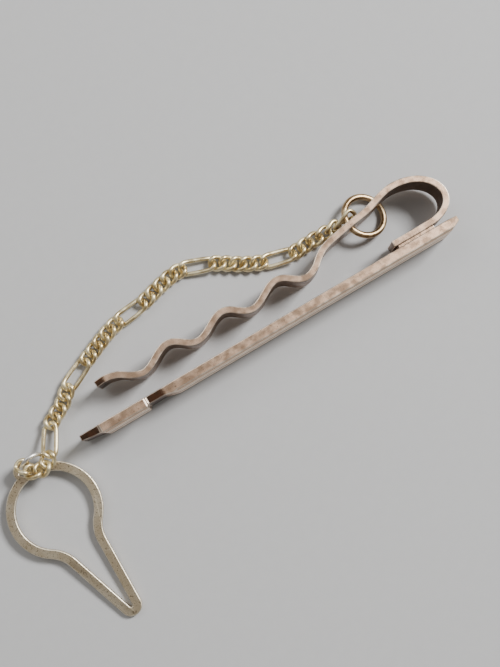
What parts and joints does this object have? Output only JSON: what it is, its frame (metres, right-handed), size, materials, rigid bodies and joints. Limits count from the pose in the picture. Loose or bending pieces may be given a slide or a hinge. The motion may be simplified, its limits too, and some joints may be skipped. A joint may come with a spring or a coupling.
{
  "type": "tie clip",
  "caption": "Tie clip: front bar with a waved spring strip bent behind it, and a jump ring, figaro safety chain and keyhole-shaped button loop.",
  "frame": {"origin": "centre of the bounding box, on the surface that the clip lies on", "axes": "+X along the front bar towards the closed end of the jaw, +Y from the bar towards the spring and the chain, +Z across the width of the bar"},
  "size_m": [0.072, 0.0376, 0.0056],
  "materials": {
    "plated_bar": "worn warm plating, pinkish silver, copper-brown where it has rubbed through",
    "spring_strip": "worn warm plating, browner inside the bends",
    "solder": "dull solder",
    "bronze_ring": "gold-brown patina",
    "pale_ring": "pale silvery plating",
    "gilt_chain": "pale gilt, dark in the gaps",
    "aged_brass": "matte aged brass with brighter edges"
  },
  "bodies": {
    "clip": {"front_bar": "plated_bar", "solder_pad": "solder", "spring_foot": "spring_strip"},
    "arm": {"spring_arm": "spring_strip"},
    "ring": {"jump_ring": "bronze_ring"},
    "link_01": {"end_link_01": "gilt_chain"},
    "link_02": {"short_link_02": "gilt_chain"},
    "link_03": {"short_link_03": "gilt_chain"},
    "link_04": {"short_link_04": "gilt_chain"},
    "link_05": {"short_link_05": "gilt_chain"},
    "link_06": {"short_link_06": "gilt_chain"},
    "link_07": {"long_link_07": "gilt_chain"},
    "link_08": {"short_link_08": "gilt_chain"},
    "link_09": {"short_link_09": "gilt_chain"},
    "link_10": {"short_link_10": "gilt_chain"},
    "link_11": {"short_link_11": "gilt_chain"},
    "link_12": {"short_link_12": "gilt_chain"},
    "link_13": {"long_link_13": "gilt_chain"},
    "link_14": {"short_link_14": "gilt_chain"},
    "link_15": {"short_link_15": "gilt_chain"},
    "link_16": {"short_link_16": "gilt_chain"},
    "link_17": {"short_link_17": "gilt_chain"},
    "link_18": {"short_link_18": "gilt_chain"},
    "link_19": {"long_link_19": "gilt_chain"},
    "link_20": {"short_link_20": "gilt_chain"},
    "link_21": {"short_link_21": "gilt_chain"},
    "link_22": {"short_link_22": "gilt_chain"},
    "link_23": {"short_link_23": "gilt_chain"},
    "link_24": {"short_link_24": "gilt_chain"},
    "link_25": {"long_link_25": "gilt_chain"},
    "link_26": {"short_link_26": "gilt_chain"},
    "link_27": {"short_link_27": "gilt_chain"},
    "link_28": {"short_link_28": "gilt_chain"},
    "link_29": {"short_link_29": "gilt_chain"},
    "link_30": {"long_link_30": "gilt_chain"},
    "link_31": {"short_link_31": "gilt_chain"},
    "link_32": {"short_link_32": "gilt_chain"},
    "link_33": {"short_link_33": "gilt_chain"},
    "link_34": {"short_link_34": "gilt_chain"},
    "connector": {"connector_ring": "pale_ring"},
    "loop": {"button_loop": "aged_brass"}
  },
  "joints": [
    {"name": "jaw_flex", "type": "hinge", "parent": "clip", "child": "arm", "pos_m": [0.03552, 0.00835, 0.00312], "axis": [0, 0, -1], "range_deg": [-3, 9], "stiffness_Nm_per_rad": 1.6},
    {"name": "ring_swing", "type": "hinge", "parent": "arm", "child": "ring", "pos_m": [0.02557, 0.0113, 0.00142], "axis": [0.9271, 0.1535, -0.342], "range_deg": [-2, 6]},
    {"name": "link_01_lift", "type": "hinge", "parent": "ring", "child": "link_01", "pos_m": [0.02303, 0.01233, 0.00222], "axis": [0.0811, -0.9967, 0], "range_deg": [-22, 22]},
    {"name": "link_02_swing", "type": "hinge", "parent": "link_01", "child": "link_02", "pos_m": [0.0217, 0.01207, 0.00145], "axis": [-0.2191, -0.0099, 0.9756], "range_deg": [-18, 3]},
    {"name": "link_03_lift", "type": "hinge", "parent": "link_02", "child": "link_03", "pos_m": [0.02033, 0.01201, 0.00114], "axis": [-0.0113, 0.9999, 0], "range_deg": [-22, 22]},
    {"name": "link_04_swing", "type": "hinge", "parent": "link_03", "child": "link_04", "pos_m": [0.01894, 0.01199, 0.00098], "axis": [0.061, -0.0024, -0.9981], "range_deg": [-3, 18]},
    {"name": "link_05_lift", "type": "hinge", "parent": "link_04", "child": "link_05", "pos_m": [0.01754, 0.01205, 0.00089], "axis": [0.0804, -0.9968, 0], "range_deg": [-22, 22]},
    {"name": "link_06_swing", "type": "hinge", "parent": "link_05", "child": "link_06", "pos_m": [0.01614, 0.01193, 0.00081], "axis": [-0.038, -0.0021, 0.9993], "range_deg": [-18, 3]},
    {"name": "link_07_lift", "type": "hinge", "parent": "link_06", "child": "link_07", "pos_m": [0.01474, 0.01186, 0.00076], "axis": [0.2361, 0.9717, 0], "range_deg": [-22, 22]},
    {"name": "link_08_swing", "type": "hinge", "parent": "link_07", "child": "link_08", "pos_m": [0.0108, 0.01281, 0.00076], "axis": [0, 0, -1], "range_deg": [-3, 18]},
    {"name": "link_09_lift", "type": "hinge", "parent": "link_08", "child": "link_09", "pos_m": [0.0095, 0.01337, 0.00076], "axis": [-0.4499, -0.8931, 0], "range_deg": [-22, 22]},
    {"name": "link_10_swing", "type": "hinge", "parent": "link_09", "child": "link_10", "pos_m": [0.00825, 0.014, 0.00076], "axis": [0, 0, 1], "range_deg": [-18, 5]},
    {"name": "link_11_lift", "type": "hinge", "parent": "link_10", "child": "link_11", "pos_m": [0.00705, 0.01474, 0.00076], "axis": [0.565, 0.8251, 0], "range_deg": [-22, 22]},
    {"name": "link_12_swing", "type": "hinge", "parent": "link_11", "child": "link_12", "pos_m": [0.00589, 0.01553, 0.00076], "axis": [0, 0, -1], "range_deg": [-5, 18]},
    {"name": "link_13_lift", "type": "hinge", "parent": "link_12", "child": "link_13", "pos_m": [0.00467, 0.01623, 0.00076], "axis": [-0.3382, -0.9411, 0], "range_deg": [-22, 22]},
    {"name": "link_14_swing", "type": "hinge", "parent": "link_13", "child": "link_14", "pos_m": [0.00085, 0.0176, 0.00076], "axis": [0, 0, 1], "range_deg": [-18, 6]},
    {"name": "link_15_lift", "type": "hinge", "parent": "link_14", "child": "link_15", "pos_m": [-0.00055, 0.01764, 0.00076], "axis": [-0.1821, 0.9833, 0], "range_deg": [-22, 22]},
    {"name": "link_16_swing", "type": "hinge", "parent": "link_15", "child": "link_16", "pos_m": [-0.00194, 0.01738, 0.00076], "axis": [0, 0, -1], "range_deg": [-7, 18]},
    {"name": "link_17_lift", "type": "hinge", "parent": "link_16", "child": "link_17", "pos_m": [-0.00331, 0.01704, 0.00076], "axis": [0.2642, -0.9645, 0], "range_deg": [-22, 22]},
    {"name": "link_18_swing", "type": "hinge", "parent": "link_17", "child": "link_18", "pos_m": [-0.00467, 0.01666, 0.00076], "axis": [0, 0, 1], "range_deg": [-18, 9]},
    {"name": "link_19_lift", "type": "hinge", "parent": "link_18", "child": "link_19", "pos_m": [-0.00603, 0.01629, 0.00076], "axis": [-0.1228, 0.9924, 0], "range_deg": [-22, 22]},
    {"name": "link_20_swing", "type": "hinge", "parent": "link_19", "child": "link_20", "pos_m": [-0.01005, 0.01579, 0.00076], "axis": [0, 0, -1], "range_deg": [-9, 18]},
    {"name": "link_21_lift", "type": "hinge", "parent": "link_20", "child": "link_21", "pos_m": [-0.01143, 0.01549, 0.00076], "axis": [0.3607, -0.9327, 0], "range_deg": [-22, 22]},
    {"name": "link_22_swing", "type": "hinge", "parent": "link_21", "child": "link_22", "pos_m": [-0.01274, 0.01498, 0.00076], "axis": [0, 0, 1], "range_deg": [-18, 12]},
    {"name": "link_23_lift", "type": "hinge", "parent": "link_22", "child": "link_23", "pos_m": [-0.01405, 0.01443, 0.00076], "axis": [-0.3991, 0.9169, 0], "range_deg": [-22, 22]},
    {"name": "link_24_swing", "type": "hinge", "parent": "link_23", "child": "link_24", "pos_m": [-0.01534, 0.01387, 0.00076], "axis": [0, 0, -1], "range_deg": [-12, 18]},
    {"name": "link_25_lift", "type": "hinge", "parent": "link_24", "child": "link_25", "pos_m": [-0.01663, 0.01331, 0.00076], "axis": [0.4329, -0.9015, 0], "range_deg": [-22, 22]},
    {"name": "link_26_swing", "type": "hinge", "parent": "link_25", "child": "link_26", "pos_m": [-0.02028, 0.01155, 0.00076], "axis": [0, 0, 1], "range_deg": [-18, 18]},
    {"name": "link_27_lift", "type": "hinge", "parent": "link_26", "child": "link_27", "pos_m": [-0.0213, 0.01058, 0.00076], "axis": [-0.6526, 0.7577, 0], "range_deg": [-22, 22]},
    {"name": "link_28_swing", "type": "hinge", "parent": "link_27", "child": "link_28", "pos_m": [-0.02236, 0.00966, 0.00075], "axis": [-0.0218, -0.0099, -0.9997], "range_deg": [-18, 18]},
    {"name": "link_29_lift", "type": "hinge", "parent": "link_28", "child": "link_29", "pos_m": [-0.02364, 0.00908, 0.00079], "axis": [0.5852, -0.8109, 0], "range_deg": [-22, 22]},
    {"name": "link_30_swing", "type": "hinge", "parent": "link_29", "child": "link_30", "pos_m": [-0.02476, 0.00827, 0.00101], "axis": [0.1599, 0.3179, 0.9345], "range_deg": [-18, 15]},
    {"name": "link_31_lift", "type": "hinge", "parent": "link_30", "child": "link_31", "pos_m": [-0.02646, 0.00489, 0.00246], "axis": [-0.7417, 0.6707, 0], "range_deg": [-12, 12]},
    {"name": "link_32_swing", "type": "hinge", "parent": "link_31", "child": "link_32", "pos_m": [-0.02741, 0.00385, 0.00252], "axis": [-0.0479, -0.0091, -0.9988], "range_deg": [-12, 4]},
    {"name": "link_33_lift", "type": "hinge", "parent": "link_32", "child": "link_33", "pos_m": [-0.02878, 0.00359, 0.00259], "axis": [-0.545, -0.8384, 0], "range_deg": [-8, 8]},
    {"name": "link_34_swing", "type": "hinge", "parent": "link_33", "child": "link_34", "pos_m": [-0.02996, 0.00435, 0.00271], "axis": [0.0086, -0.0288, 0.9995], "range_deg": [-2, 12]},
    {"name": "connector_swing", "type": "hinge", "parent": "link_34", "child": "connector", "pos_m": [-0.03021, 0.00538, 0.0028], "axis": [-0.96, -0.28, 0], "range_deg": [-15, 2]},
    {"name": "loop_swing", "type": "hinge", "parent": "connector", "child": "loop", "pos_m": [-0.03059, 0.00467, 0.0014], "axis": [0.9816, 0.1908, 0], "range_deg": [-4, 8]}
  ]
}
